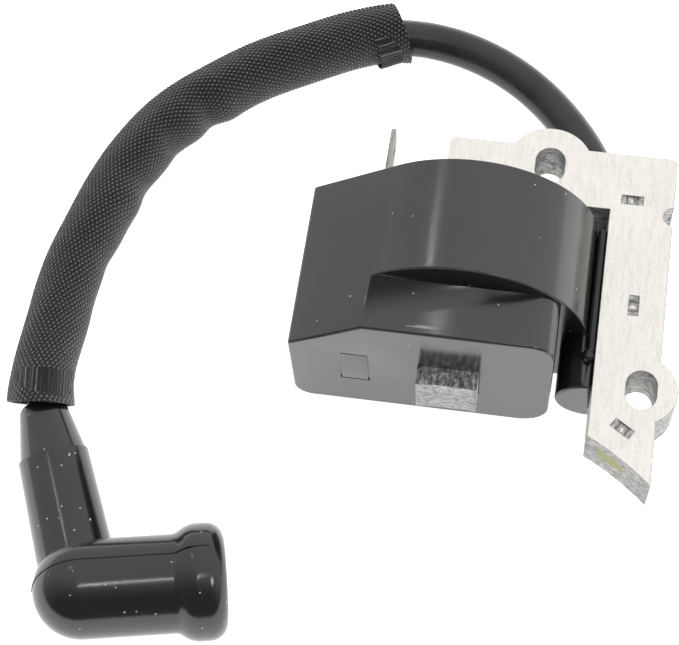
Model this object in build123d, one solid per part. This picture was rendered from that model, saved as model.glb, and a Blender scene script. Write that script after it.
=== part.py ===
"""Flywheel ignition coil with a bare high-tension lead, a braided sleeve and a right-angle plug boot.

Units are millimetres and +Z is up.  The coil lies on the flat back of its housing (z = 0) with the
core's front face looking up.  +X runs along the core's top bar and +Y points from the pole faces to
that bar.  The origin is under the middle of the coil unit, without its lead, sleeve and boot.

Pieces of the coil unit are drawn in the core's own frame: x from the left end of the top bar, depth
from the bar's top edge towards the flywheel (so depth = -y), z as above.
"""
from build123d import *
from math import asin, atan2, cos, hypot, pi, radians, sin, tan
import os

# ---------------------------------------------------------------- driving dimensions
# laminated core
sheet_thickness = 0.5
sheet_count = 19
core_lead_gap = 1.1            # between the lead in its outlet and the core in front of it
coil_leg_width = 10.5
window_width = 19.3
outer_leg_width = 11.2
bar_height = 11.5
pole_depth = 49.2              # bar's top edge to the middle of the coil leg's pole face
pole_arc_radius = 54.0         # flywheel radius plus the air gap
slot_width = 5.3
slot_length = 7.1
upper_slot_x = 18.4
upper_slot_depth = 3.9
lower_slot_inset = 2.9         # slot centre to the outer leg's outer edge
lower_slot_lift = 3.6          # slot centre above the coil leg's pole face
upper_ear_radius = 7.7
lower_ear_radius = 6.2
core_corner_radius = 1.2
notch_radius = 1.75
notch_depth_down = 11.8
dimple_length = 4.0
dimple_width = 1.9
dimple_deep = 0.7
dimple_rows = (9.25, 29.9)     # depths of the two beside the window
dimple_below_pole = 3.8        # the third, below the coil leg's pole face

# housing
housing_left = 22.6            # left side, beyond the core's left end
block_inset = 5.2              # right side of the lower block, inside the dome's
rim_depth = 15.2               # open, potted end
pole_reach = 3.2               # pole face beyond the closed end
ledge_length = 9.8             # lower block beyond the dome
facet_rise = 12.7              # front of the lower block above the core's front face
left_side_height = 21.7
dome_offset = 0.75             # dome's axis beside the coil leg's
dome_drop = 3.4                # dome's axis below the core's front face
sealant_width = 1.6            # between the dome and the outer leg
wall = 1.8
back_left_radius = 3.5
back_right_radius = 5.5
front_right_radius = 4.5
edge_radius = 0.5
rim_edge_radius = 0.3
pole_hole_corner = 0.4
resin_below_rim = 1.0
fit_gap = 0.15                 # between the core and what it passes through
lobe_radius = 6.1
lobe_height = 11.6
lobe_into_leg = 0.1            # lobe centre beyond the outer leg's inner face
mark_left = 13.8
mark_low = 9.6
mark_width = 5.2
mark_length = 10.6
mark_groove = 0.3

# high-tension outlet behind the outer leg
tower_into_leg = 3.2           # tower axis beyond the outer leg's inner face
tower_wall = 0.9
tower_mouth_depth = 13.5
tower_seat_lift = 8.7          # lead's seat above the dome's end
hv_channel_radius = 1.6
hv_pin_radius = 1.0
hv_pin_drop = 2.6              # pin's axis beyond the lead's seat
hv_pin_inside = 2.2            # pin's length inside the cavity
hv_wire_radius = 0.4
spike_radius = 0.45
spike_bite = 5.0

# windings round the coil leg
bobbin_wall = 0.9
bobbin_start_depth = 17.8
bobbin_clearance = 0.8         # between the bobbins and the closed end
flange_thickness = 0.9
charge_share = 8.0             # length of the charge winding's chamber
primary_build = 2.2
winding_gap = 0.3
secondary_sections = 6
secondary_build = 2.4
flange_lip = 0.25
bobbin_corner = 1.0

# electronics
board_thickness = 1.2
board_gap = 1.0                # board to the secondary's flanges
board_margin = 1.5
capacitor_length = 15.0
capacitor_height = 7.0
capacitor_below = 4.7          # between it and the dome's end
capacitor_edge_radius = 0.8
capacitor_clearance = 0.6      # above the windings
resistor_length = 6.3
resistor_radius = 1.15
diode_length = 4.6
diode_radius = 1.3
component_gap = 0.3            # between a component and the board
component_pitch = 4.0          # between the two of a pair
component_height = 6.0         # lower one's axis
resistor_margin = 0.2          # shares of the board's length that the axial pairs leave free
diode_margin = 0.58
thyristor_start = 0.163        # shares of the board's length
trigger_middle = 0.694
axial_wire_radius = 0.3
axial_wire_share = 0.061       # wire beyond the body, each end, of the board's length
thyristor_case = 4.6           # its width and height
thyristor_thickness = 3.6
thyristor_height = 15.2        # its lower face
thyristor_gap = 1.2
thyristor_pitch = 1.27
trigger_radius = 2.6
trigger_thickness = 2.4
trigger_height = 16.5          # its axis
trigger_gap = 1.0
pin_radius = 0.25
tab_width = 6.3
tab_thickness = 0.8
tab_rise = 11.2                # above the housing's rim
tab_height = 24.1
tab_buried = 12.0
tab_chamfer = 1.4
tab_hole_radius = 0.85
tab_hole_below = 4.0           # hole's centre below the tip
strap_width = 4.0
strap_thickness = 0.3
strap_overlap = 6.0            # along the board
primary_lead_spacing = 7.0
hv_link_drop = 4.0             # link's height below the core's middle
wire_radius = 0.3

# lead, sleeve, boot
lead_radius = 3.5
conductor_radius = 1.2
bore_gap = 0.1                 # lead in the outlet tower, on radius
sleeve_slack = 1.45            # on radius
sleeve_wall = 0.8
sleeve_end_drop = 0.394        # sleeve's end below the tip of the boot's neck
barrel_radius = 8.35
bead_radius = 9.95
barrel_reach = 24.05           # barrel's round end centre to its mouth
barrel_tilt = 6.8              # mouth end lower, degrees
barrel_heading = 13.7
bead_length = 8.4
bead_rise = 2.4                # bead's shoulder, along the barrel
bead_front_radius = 3.0
bead_back_radius = 1.5
plug_bore_radius = 5.2
plug_bore_length = 13.0
clip_chamber_radius = 5.6
clip_chamber_length = 9.0
neck_length = 36.0
neck_heading = 114.5
neck_tilt = 7.4                # tip end lower, degrees
neck_step = 26.0
neck_step_height = 0.3
neck_foot = 8.0                # start of the neck's taper
neck_foot_radius = 6.55
neck_step_radius = 6.2
neck_tip_wall = 0.62
neck_lip = 1.6                 # flared mouth of the neck's bore
neck_flare = 0.3
swivel_gap = 0.08              # lead in the boot's neck, on radius
stem_way = 0.7                 # way for the clip's wire, radius
clip_sheet = 0.5
clip_gap = 0.6                 # clip inside its chamber
clip_slit = 3.0
lead_end = 22.0                # lead's end above the barrel's axis
lead_leaves = 48.0             # where the lead turns out of the neck's line

# ---------------------------------------------------------------- derived sizes
core_thickness = sheet_thickness * sheet_count
tower_radius = lead_radius + bore_gap + tower_wall
tower_height = tower_radius
core_lift = tower_height + lead_radius + core_lead_gap     # rear face of the core above the back
core_front = core_lift + core_thickness
core_middle = core_lift + core_thickness / 2
leg_centre_x = coil_leg_width / 2
outer_leg_x = coil_leg_width + window_width
core_right = outer_leg_x + outer_leg_width
lower_slot_x = core_right - lower_slot_inset
lower_slot_depth = pole_depth - lower_slot_lift
ear_right = lower_slot_x + lower_ear_radius
flywheel_depth = pole_depth + pole_arc_radius
leg_tip_depth = flywheel_depth - (pole_arc_radius**2 - (core_right - leg_centre_x) ** 2) ** 0.5
ear_top = upper_ear_radius - upper_slot_depth
floor_depth = pole_depth - pole_reach
ledge_depth = floor_depth - ledge_length
facet_height = core_front + facet_rise
dome_centre_x = leg_centre_x + dome_offset
dome_centre_z = core_front - dome_drop
dome_right = outer_leg_x - sealant_width
dome_radius = dome_right - dome_centre_x
block_right = dome_right - block_inset
bobbin_length = floor_depth - wall - bobbin_clearance - bobbin_start_depth
capacitor_start = bobbin_start_depth + flange_thickness
capacitor_depth = ledge_depth - wall - capacitor_below - capacitor_start
tower_x = outer_leg_x + tower_into_leg
tower_seat_depth = ledge_depth - tower_seat_lift
sleeve_inner_radius = lead_radius + sleeve_slack
sleeve_outer_radius = sleeve_inner_radius + sleeve_wall
neck_tip_radius = lead_radius + swivel_gap + neck_tip_wall
hv_depth = tower_seat_depth + hv_pin_drop
hv_pin_start = dome_right - 2 * wall - hv_pin_inside

# the coil unit's frame in the row frame
datum = Pos(-(ear_right - housing_left) / 2, (leg_tip_depth - ear_top) / 2, 0)


def at_depth(sketch, start, end):
    """Prism of a sketch drawn in (x, z), from one depth below the bar's top edge to another."""
    return extrude(Plane.XZ.offset(start) * sketch, end - start)


def rectangle(x0, z0, x1, z1):
    return Pos((x0 + x1) / 2, (z0 + z1) / 2) * Rectangle(x1 - x0, z1 - z0)


def block(x0, depth0, z0, x1, depth1, z1):
    return at_depth(rectangle(x0, z0, x1, z1), depth0, depth1)


def disc(x, z, radius):
    return Pos(x, z) * Circle(radius)


def rod(x0, x1, depth, z, radius):
    """Round bar along x."""
    plane = Plane(origin=(x0, -depth, z), x_dir=(0, 1, 0), z_dir=(1, 0, 0))
    return extrude(plane * Circle(radius), x1 - x0)


def pin(depth0, depth1, x, z, radius):
    """Round bar along the depth."""
    return at_depth(disc(x, z, radius), depth0, depth1)


def corner_beyond(gap):
    """Corner radius of a ring that stands off the leg's sharp corners by a gap."""
    return gap + min(bobbin_corner, gap)


def around_leg(gap, corner):
    """Rounded rectangle in (x, z) that clears the coil leg by a gap."""
    half = gap * 2
    shape = RectangleRounded(coil_leg_width + half, core_thickness + half, corner)
    return Pos(leg_centre_x, core_middle) * shape


# ---------------------------------------------------------------- core
def slot(x, depth, length, width):
    return Pos(x, -depth) * Rot(0, 0, 90) * SlotOverall(length, width)


def dimple(x, depth, angle):
    """V-shaped interlock pressed into the front sheets."""
    vee = Polyline((-dimple_length / 2, 0), (0, -dimple_deep), (dimple_length / 2, 0), close=True)
    prism = extrude(Plane.XZ * make_face(vee), dimple_width / 2, both=True)
    return Pos(x, -depth, core_front) * Rot(0, 0, angle) * prism


def make_core():
    spare = 12.0
    bar = rectangle(0, -bar_height, core_right, 0)
    coil_leg = rectangle(0, -pole_depth - spare, coil_leg_width, 0)
    outer_leg = rectangle(outer_leg_x, -leg_tip_depth - spare, core_right, 0)
    frame = bar + coil_leg + outer_leg
    corners = [v for v in frame.vertices() if v.Y > -1e-6]
    frame = fillet(corners, core_corner_radius)
    frame += Pos(upper_slot_x, -upper_slot_depth) * Circle(upper_ear_radius)
    frame += Pos(lower_slot_x, -lower_slot_depth) * Circle(lower_ear_radius)
    frame -= Pos(leg_centre_x, -flywheel_depth) * Circle(pole_arc_radius)
    frame -= slot(upper_slot_x, upper_slot_depth, slot_length, slot_width)
    frame -= slot(lower_slot_x, lower_slot_depth, slot_length, slot_width)
    frame -= Pos(core_right, -notch_depth_down) * Circle(notch_radius)
    core = extrude(Pos(0, 0, core_lift) * frame, core_thickness)
    leg_middle = outer_leg_x + outer_leg_width / 2
    upper, middle = dimple_rows
    core -= dimple(leg_middle - dimple_width, upper, 0)
    core -= dimple(leg_middle, middle, 90)
    core -= dimple(leg_middle, pole_depth + dimple_below_pole, -32)
    return core


# ---------------------------------------------------------------- housing
def slant_angle():
    """Angle of the flat face that runs from the left side to touch the dome."""
    across = dome_centre_x + housing_left
    up = dome_centre_z - left_side_height
    return atan2(up, across) + asin(dome_radius / hypot(across, up))


def block_profile():
    """Lower block: flat front, slanted front left, rounded corners."""
    slant_run = (facet_height - left_side_height) / tan(slant_angle())
    left = -housing_left
    face = make_face(
        Polyline(
            (left, 0), (block_right, 0), (block_right, facet_height),
            (left + slant_run, facet_height), (left, left_side_height), close=True,
        )
    )
    radii = {(left, 0): back_left_radius, (block_right, 0): back_right_radius,
             (block_right, facet_height): front_right_radius, (left, left_side_height): 1.2}
    return rounded(face, radii)


def rounded(face, radii):
    for (x, y), radius in radii.items():
        corner = face.vertices().sort_by_distance((x, y, 0))[0]
        face = fillet(corner, radius)
    return face


def dome_profile():
    """Upper part: the same left side and slanted face, then the round dome over the windings."""
    left = -housing_left
    right = dome_right
    angle = slant_angle()
    run = ((dome_centre_x + housing_left) ** 2 + (dome_centre_z - left_side_height) ** 2
           - dome_radius**2) ** 0.5
    touch = (left + run * cos(angle), left_side_height + run * sin(angle))
    base = make_face(
        Polyline(
            (left, 0), (right, 0), (right, dome_centre_z), (dome_centre_x, dome_centre_z),
            touch, (left, left_side_height), close=True,
        )
    )
    upper_half = rectangle(left, dome_centre_z, right, dome_centre_z + dome_radius)
    face = base + (disc(dome_centre_x, dome_centre_z, dome_radius) & upper_half)
    return rounded(face, {(left, 0): back_left_radius, (left, left_side_height): 1.2})


def leg_space(gap):
    """The room that the outer leg takes beside and in front of the outlet."""
    far = core_right + 20
    return block(outer_leg_x - gap, 0, core_lift - gap, far, leg_tip_depth, core_front + 30)


def make_cavity():
    upper = at_depth(offset(dome_profile(), -wall, kind=Kind.INTERSECTION),
                     rim_depth, ledge_depth - wall)
    lower = at_depth(offset(block_profile(), -wall, kind=Kind.INTERSECTION),
                     rim_depth, floor_depth - wall)
    return upper + lower


def make_housing(cavity):
    lower = at_depth(block_profile(), ledge_depth - 1, floor_depth)
    rim = lower.faces().sort_by(Axis.Y)[0].edges()
    lower = fillet(rim, edge_radius)
    dome = at_depth(dome_profile(), rim_depth, ledge_depth)
    ends = dome.faces().sort_by(Axis.Y)
    dome = fillet(ends[0].edges() + ends[-1].edges(), rim_edge_radius)
    lobe_x = outer_leg_x + lobe_into_leg
    lobe = at_depth(disc(lobe_x, lobe_height, lobe_radius), ledge_depth - 6, floor_depth)
    lobe = fillet(lobe.faces().sort_by(Axis.Y)[0].edges(), edge_radius)
    bridge_start = tower_mouth_depth + 8
    bridge = block(dome_centre_x + 10, bridge_start, 0, tower_x, ledge_depth, tower_height * 2)
    tower = at_depth(disc(tower_x, tower_height, tower_radius), tower_mouth_depth, ledge_depth)
    shell = lower + dome + lobe + bridge + tower - cavity - leg_space(fit_gap)
    pole_hole = at_depth(around_leg(fit_gap, pole_hole_corner), floor_depth - wall - 1, floor_depth + 1)
    bore = at_depth(disc(tower_x, tower_height, lead_radius + bore_gap),
                    tower_mouth_depth - 1, tower_seat_depth)
    shell = shell - pole_hole - bore - hv_channel()
    outline = rectangle(-mark_left, mark_low, -mark_left + mark_width, mark_low + mark_length)
    inner = offset(outline, -mark_groove, kind=Kind.INTERSECTION)
    return shell - at_depth(outline - inner, floor_depth - mark_groove, floor_depth + 1)


def hv_channel():
    """Way from the potted cavity to the foot of the outlet bore, then up into the bore."""
    start = dome_right - 2 * wall
    along = rod(start, tower_x, hv_depth, tower_height, hv_channel_radius)
    up = pin(tower_seat_depth, hv_depth, tower_x, tower_height, hv_channel_radius)
    return along + up + Pos(tower_x, -hv_depth, tower_height) * Sphere(hv_channel_radius)


# ---------------------------------------------------------------- windings
def ring(inner_gap, outer_gap, start, end):
    """Rounded ring round the coil leg, between two gaps from it."""
    outline = around_leg(outer_gap, corner_beyond(outer_gap))
    return at_depth(outline - around_leg(inner_gap, corner_beyond(inner_gap)), start, end)


bobbin_end_depth = bobbin_start_depth + bobbin_length
primary_inner = fit_gap + bobbin_wall
primary_outer = primary_inner + primary_build
secondary_bore = primary_outer + winding_gap
secondary_inner = secondary_bore + bobbin_wall
secondary_outer = secondary_inner + secondary_build
secondary_reach = secondary_outer + flange_lip
charge_end = bobbin_start_depth + flange_thickness + charge_share


def make_primary_bobbin():
    tube = ring(fit_gap, primary_inner, bobbin_start_depth, bobbin_end_depth)
    for start in (bobbin_start_depth, charge_end, bobbin_end_depth - flange_thickness):
        tube += ring(fit_gap, primary_outer, start, start + flange_thickness)
    return tube


def make_charge_winding():
    return ring(primary_inner, primary_outer - 0.1, bobbin_start_depth + flange_thickness, charge_end)


def make_primary_winding():
    return ring(primary_inner, primary_outer - 0.1, charge_end + flange_thickness,
                bobbin_end_depth - flange_thickness)


section_pitch = (bobbin_length - flange_thickness) / secondary_sections


def make_secondary_bobbin():
    tube = ring(secondary_bore, secondary_inner, bobbin_start_depth, bobbin_end_depth)
    for index in range(secondary_sections + 1):
        start = bobbin_start_depth + index * section_pitch
        tube += ring(secondary_bore, secondary_reach, start, start + flange_thickness)
    return tube


def make_secondary_windings():
    coils = []
    for index in range(secondary_sections):
        start = bobbin_start_depth + index * section_pitch + flange_thickness
        end = bobbin_start_depth + (index + 1) * section_pitch
        coils.append(ring(secondary_inner, secondary_outer, start, end))
    return Compound(coils)


# ---------------------------------------------------------------- electronics
board_right = leg_centre_x - coil_leg_width / 2 - secondary_reach - board_gap
board_left = board_right - board_thickness
board_low = wall + board_margin
board_high = left_side_height + 3.0
board_top_depth = bobbin_start_depth + 0.4
board_end_depth = floor_depth - wall - board_margin
board_length = board_end_depth - board_top_depth
axial_wire_reach = board_length * axial_wire_share
free_length = board_length - resistor_length - diode_length - 4 * axial_wire_reach


def make_board():
    return block(board_left, board_top_depth, board_low, board_right, board_end_depth, board_high)


def axial_part(depth, z, length, radius):
    """Axial component that lies beside the board, with its two wires bent back to it."""
    x = board_left - radius - component_gap
    middle = depth + length / 2
    reach = length / 2 + axial_wire_reach
    part = pin(depth, depth + length, x, z, radius)
    part += pin(middle - reach, middle + reach, x, z, axial_wire_radius)
    bend = reach - axial_wire_radius
    for end in (middle - bend, middle + bend):
        part += rod(x, board_left, end, z, axial_wire_radius)
    return part


def axial_pair(depth, length, radius):
    heights = (component_height, component_height + component_pitch)
    return Compound([axial_part(depth, z, length, radius) for z in heights])


def make_resistors():
    depth = board_top_depth + axial_wire_reach + free_length * resistor_margin
    return axial_pair(depth, resistor_length, resistor_radius)


def make_diodes():
    end = board_end_depth - axial_wire_reach - free_length * diode_margin
    return axial_pair(end - diode_length, diode_length, diode_radius)


def make_thyristor():
    """Flat-sided transistor case with three legs into the board."""
    depth = board_top_depth + board_length * thyristor_start
    face = board_left - thyristor_gap
    case = block(face - thyristor_thickness, depth, thyristor_height,
                 face, depth + thyristor_case, thyristor_height + thyristor_case)
    for step in (-thyristor_pitch, 0, thyristor_pitch):
        case += rod(face, board_left, depth + thyristor_case / 2 + step,
                    thyristor_height + thyristor_case / 2, pin_radius)
    return case


def make_trigger_capacitor():
    """Small disc capacitor that sets the firing time."""
    depth = board_top_depth + board_length * trigger_middle
    face = board_left - trigger_gap
    body = rod(face - trigger_thickness, face, depth, trigger_height, trigger_radius)
    for step in (-trigger_radius / 2, trigger_radius / 2):
        body += rod(face, board_left, depth + step, trigger_height, pin_radius)
    return body


def make_storage_capacitor():
    """Film capacitor in the dome, in front of the windings."""
    x0 = dome_centre_x - capacitor_length / 2
    z0 = core_front + secondary_reach + capacitor_clearance
    end = capacitor_start + capacitor_depth
    case = block(x0, capacitor_start, z0, x0 + capacitor_length, end, z0 + capacitor_height)
    return fillet(case.edges().filter_by(Axis.Y), capacitor_edge_radius)


def make_tab():
    """Blade terminal for the stop-switch wire, edge on to the core's face."""
    half, tip = tab_width / 2, tab_chamfer
    top = -rim_depth + tab_rise
    foot = -rim_depth - tab_buried
    outline = Polyline(
        (-half, foot), (half, foot), (half, top - tip), (half - tip, top),
        (-half + tip, top), (-half, top - tip), close=True,
    )
    blade = make_face(outline) - Pos(0, top - tab_hole_below) * Circle(tab_hole_radius)
    plane = Plane(origin=(board_left, 0, tab_height), x_dir=(0, 0, 1), z_dir=(-1, 0, 0))
    return extrude(plane * blade, tab_thickness)


def make_ground_strap():
    """Tinned strap that earths the board on the coil leg, under the bobbins."""
    low, high = core_middle - strap_width / 2, core_middle + strap_width / 2
    start = bobbin_end_depth + 0.1
    end = start + strap_thickness
    across = block(board_right, start, low, 0, end, high)
    along = block(board_right, start - strap_overlap, low, board_right + strap_thickness, end, high)
    return across + along


def make_primary_leads():
    """Two wires from the inner bobbin's end to the top edge of the board."""
    depth = bobbin_start_depth - wire_radius
    x = (board_left + board_right) / 2
    wires = []
    for z in (core_middle - primary_lead_spacing / 2, core_middle + primary_lead_spacing / 2):
        wire = rod(x, -primary_inner - 1, depth, z, wire_radius)
        wires.append(wire + pin(depth, board_top_depth, x, z, wire_radius))
    return Compound(wires)


def make_hv_link():
    """Wire from the secondary winding to the high-tension pin."""
    out = hv_pin_start - hv_wire_radius
    high = core_middle - hv_link_drop
    drop = Pos(out, -hv_depth, tower_height) * Cylinder(
        hv_wire_radius, high - tower_height, align=(Align.CENTER, Align.CENTER, Align.MIN)
    )
    knee = Pos(out, -hv_depth, high) * Sphere(hv_wire_radius)
    return rod(coil_leg_width + secondary_reach, out, hv_depth, high, hv_wire_radius) + drop + knee


def make_hv_terminal():
    """Brass pin under the outlet with the spike that the lead is pushed onto."""
    spike = pin(tower_seat_depth - spike_bite, hv_depth, tower_x, tower_height, spike_radius)
    knob = Pos(tower_x, -hv_depth, tower_height) * Sphere(hv_pin_radius)
    return rod(hv_pin_start, tower_x, hv_depth, tower_height, hv_pin_radius) + spike + knob


# ---------------------------------------------------------------- lead, sleeve and boot
def row(x, depth, z):
    """A point of the coil unit's frame in the row frame."""
    return Vector(x, -depth, z) + datum.position


def downhill(heading, tilt):
    """Unit vector along a heading, tilted down, both in degrees."""
    flat = cos(radians(tilt))
    return Vector(cos(radians(heading)) * flat, sin(radians(heading)) * flat, -sin(radians(tilt)))


mouth_way = downhill(barrel_heading, barrel_tilt)
neck_way = downhill(neck_heading, neck_tilt)
# the bead's lowest point rests on the surface
bead_rest = bead_radius * cos(radians(barrel_tilt)) - (barrel_reach - bead_length / 2) * mouth_way.Z
barrel_centre = Vector(-61.56, -61.54, bead_rest)
tangent_share = 0.45

route = [
    row(tower_x, tower_seat_depth, tower_height),
    row(tower_x, 3.4, tower_height),
    Vector(3.0, 53.0, lead_radius + 0.4),
    Vector(-23.6, 60.8, sleeve_outer_radius - 0.35),
    Vector(-49.5, 48.2, sleeve_outer_radius + 0.55),
    Vector(-68.1, 32.2, sleeve_outer_radius + 0.35),
    Vector(-75.4, 10.2, sleeve_outer_radius + 0.35),
    barrel_centre + neck_way * lead_leaves,
    barrel_centre + neck_way * lead_end,
]


def corner_radii(points):
    """Largest arc at each corner that takes a fixed share of the shorter run beside it."""
    radii = []
    for before, here, after in zip(points, points[1:], points[2:]):
        turn = radians((here - before).get_angle(after - here))
        shorter = min((here - before).length, (after - here).length)
        radii.append(tangent_share * shorter / tan(turn / 2))
    return radii


lead_radii = corner_radii(route)
lead_path = FilletPolyline(*route, radius=lead_radii)


def tube(path, outer, inner):
    """Round tube along a path that starts at the outlet's seat."""
    start = Plane(origin=path @ 0, z_dir=path % 0)
    section = start * Circle(outer)
    if inner:
        section -= start * Circle(inner)
    return sweep(section, path=path)


def beyond(origin, way):
    """Everything on the far side of a plane, as far as the piece reaches."""
    size = 60.0
    plane = Plane(origin=origin, z_dir=way)
    return extrude(plane * Rectangle(size, size), size)


def spike_hole(origin, way):
    """Hole that a spike leaves in the end of the conductor."""
    depth = spike_bite + 0.3
    return extrude(Plane(origin=origin - way, z_dir=way) * Circle(spike_radius + 0.05), depth + 1)


def make_lead():
    return tube(lead_path, lead_radius, conductor_radius)


def make_conductor():
    core = tube(lead_path, conductor_radius, 0)
    core -= spike_hole(route[0], Vector(0, 1, 0))
    core -= spike_hole(route[-1], neck_way)
    return core


neck_tip_height = barrel_centre.Z + neck_length * neck_way.Z

# the sleeve hangs on the outside of the lead's bends at its two ends
sleeve_start = Vector(-24.6, 60.0, sleeve_outer_radius)
sleeve_start_way = Vector(0.89, 0.456, 0)
sleeve_route = [
    Vector(-21.0, 60.9, sleeve_outer_radius + 0.2),
    *route[4:7],
    Vector(-79.3, -14.0, sleeve_outer_radius + 0.65),
    Vector(-78.25, -27.65, neck_tip_height - sleeve_end_drop),
]


def make_sleeve():
    """Braided sleeve: loose on the lead, cut square at both ends."""
    path = FilletPolyline(*sleeve_route, radius=corner_radii(sleeve_route))
    sleeve = tube(path, sleeve_outer_radius, sleeve_inner_radius)
    return sleeve - beyond(sleeve_start, sleeve_start_way)


barrel_plane = Plane(origin=barrel_centre, x_dir=neck_way.cross(mouth_way), z_dir=mouth_way)
neck_plane = Plane(origin=barrel_centre, x_dir=neck_way.cross(mouth_way), z_dir=neck_way)


def turned(plane, *outline):
    """Solid of revolution about the plane's normal from (radius, height) points."""
    face = make_face(Polyline(*outline, close=True))
    return plane * revolve(Plane.XZ * face, Axis.Z)


def make_bead_ring():
    """Thick rounded rim round the boot's mouth."""
    start = barrel_reach - bead_length
    face = make_face(
        Polyline(
            (0, start), (barrel_radius, start), (bead_radius, start + bead_rise),
            (bead_radius, barrel_reach), (0, barrel_reach), close=True,
        )
    )
    radii = {(bead_radius, barrel_reach): bead_front_radius,
             (bead_radius, start + bead_rise): bead_back_radius}
    return barrel_plane * revolve(Plane.XZ * rounded(face, radii), Axis.Z)


def make_boot():
    """Rubber boot: barrel over the plug, neck over the lead, and the bores in both."""
    bore_start = barrel_reach - plug_bore_length
    chamber_start = bore_start - clip_chamber_length
    barrel = turned(barrel_plane, (0, 0), (barrel_radius, 0), (barrel_radius, barrel_reach),
                    (0, barrel_reach))
    neck = turned(neck_plane, (0, 0), (neck_foot_radius, 0), (neck_foot_radius, neck_foot),
                  (neck_step_radius, neck_step), (neck_step_radius - neck_step_height, neck_step),
                  (neck_tip_radius, neck_length), (0, neck_length))
    solid = barrel + make_bead_ring() + Pos(barrel_centre) * Sphere(barrel_radius) + neck
    plug_side = [(plug_bore_radius, bore_start, barrel_reach + 1),
                 (clip_chamber_radius, chamber_start, bore_start),
                 (stem_way, -stem_way, bore_start)]
    for radius, start, end in plug_side:
        solid -= turned(barrel_plane, (0, start), (radius, start), (radius, end), (0, end))
    bore = lead_radius + swivel_gap
    solid -= turned(neck_plane, (0, lead_end), (bore, lead_end), (bore, neck_length - neck_lip),
                    (bore + neck_flare, neck_length + 1), (0, neck_length + 1))
    return solid - turned(neck_plane, (0, 0), (stem_way, 0), (stem_way, lead_end), (0, lead_end))


def make_clip():
    """Sprung contact that snaps over the plug's terminal, with the prong that enters the lead."""
    outer = clip_chamber_radius - clip_gap
    inner = outer - clip_sheet
    end = barrel_reach - plug_bore_length - clip_gap
    start = end - clip_chamber_length + 2 * clip_gap
    ring_part = turned(barrel_plane, (inner, start), (outer, start), (outer, end), (inner, end))
    mouth_gap = Plane(origin=barrel_centre + mouth_way * start, x_dir=neck_way, z_dir=mouth_way)
    ring_part -= extrude(mouth_gap * Pos(-outer, 0) * Rectangle(outer * 2, clip_slit), end - start + 1)
    web_end = start + clip_sheet
    web = turned(barrel_plane, (0, start), (outer, start), (outer, web_end), (0, web_end))
    prong = extrude(neck_plane * Circle(spike_radius), lead_end + spike_bite)
    stem = extrude(Plane(origin=barrel_centre - mouth_way * 0.2, z_dir=mouth_way)
                   * Circle(spike_radius), start + 0.4)
    return ring_part + web + prong + stem


# ---------------------------------------------------------------- resin and sealant
def make_bead():
    """Cured sealant that bonds the housing to the outer leg."""
    top, end = core_front - 0.2, ledge_depth + 4.0
    low = core_lift + 0.3
    width = outer_leg_x - dome_right
    face = rectangle(dome_right, low, outer_leg_x, top)
    face = fillet(face.vertices().sort_by(Axis.Y)[-2:], width * 0.45)
    drop = Pos(outer_leg_x - width * 0.75, -end, top - 0.6) * Sphere(width * 0.75)
    bead = at_depth(face, rim_depth + 0.3, end) + drop
    lobe = pin(ledge_depth - 6, floor_depth, outer_leg_x + lobe_into_leg, lobe_height, lobe_radius)
    return bead - lobe - leg_space(0) - at_depth(dome_profile(), rim_depth, ledge_depth)


def make_resin(cavity, inside):
    """Potting resin that fills the housing round the windings and the electronics."""
    resin = cavity - block(-housing_left, rim_depth - 1, 0, dome_right,
                           rim_depth + resin_below_rim, dome_centre_z + dome_radius)
    resin -= at_depth(around_leg(secondary_reach, corner_beyond(secondary_reach)),
                      bobbin_start_depth, bobbin_end_depth)
    resin -= at_depth(rectangle(0, core_lift, coil_leg_width, core_front), 0, floor_depth)
    for piece in inside:
        resin -= piece
    return resin


# ---------------------------------------------------------------- whole part
def make_unit():
    """Pieces of the coil unit, in its own frame."""
    cavity = make_cavity()
    potted = {
        "circuit_board": make_board(),
        "resistors": make_resistors(),
        "diodes": make_diodes(),
        "thyristor": make_thyristor(),
        "trigger_capacitor": make_trigger_capacitor(),
        "storage_capacitor": make_storage_capacitor(),
        "kill_switch_tab": make_tab(),
        "ground_strap": make_ground_strap(),
        "primary_leads": make_primary_leads(),
        "hv_link": make_hv_link(),
        "hv_terminal": make_hv_terminal(),
    }
    return {
        "core_laminations": make_core(),
        "housing": make_housing(cavity),
        "potting_resin": make_resin(cavity, potted.values()),
        "leg_sealant": make_bead(),
        "primary_bobbin": make_primary_bobbin(),
        "charge_winding": make_charge_winding(),
        "primary_winding": make_primary_winding(),
        "secondary_bobbin": make_secondary_bobbin(),
        "secondary_windings": make_secondary_windings(),
        **potted,
    }


def make_lead_set():
    """Pieces of the high-tension lead, in the row frame."""
    return {
        "lead_insulation": make_lead(),
        "lead_conductor": make_conductor(),
        "braided_sleeve": make_sleeve(),
        "plug_boot": make_boot(),
        "plug_clip": make_clip(),
    }


def main():
    os.makedirs("parts", exist_ok=True)
    pieces = {name: datum * piece for name, piece in make_unit().items()} | make_lead_set()
    for name, piece in pieces.items():
        export_step(piece, f"parts/{name}.step")
    print("lead radii", [round(radius, 1) for radius in lead_radii])
    section = pi * (lead_radius**2 - conductor_radius**2)
    print("lead volume over section times length",
          round(pieces["lead_insulation"].volume / (section * lead_path.length), 4))
    print("lead length", round(lead_path.length, 1))


if __name__ == "__main__":
    main()
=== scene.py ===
"""Ignition coil with its lead, braided sleeve and plug boot, laid out as a Blender add-on.

Sizes are metres in the CAD frame: +Z up, +X along the core's top bar, +Y from the poles to that bar.
"""

import math

import bmesh
import bpy
from bpy.props import FloatProperty, FloatVectorProperty, IntProperty, PointerProperty
from mathutils import Matrix, Vector


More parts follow.
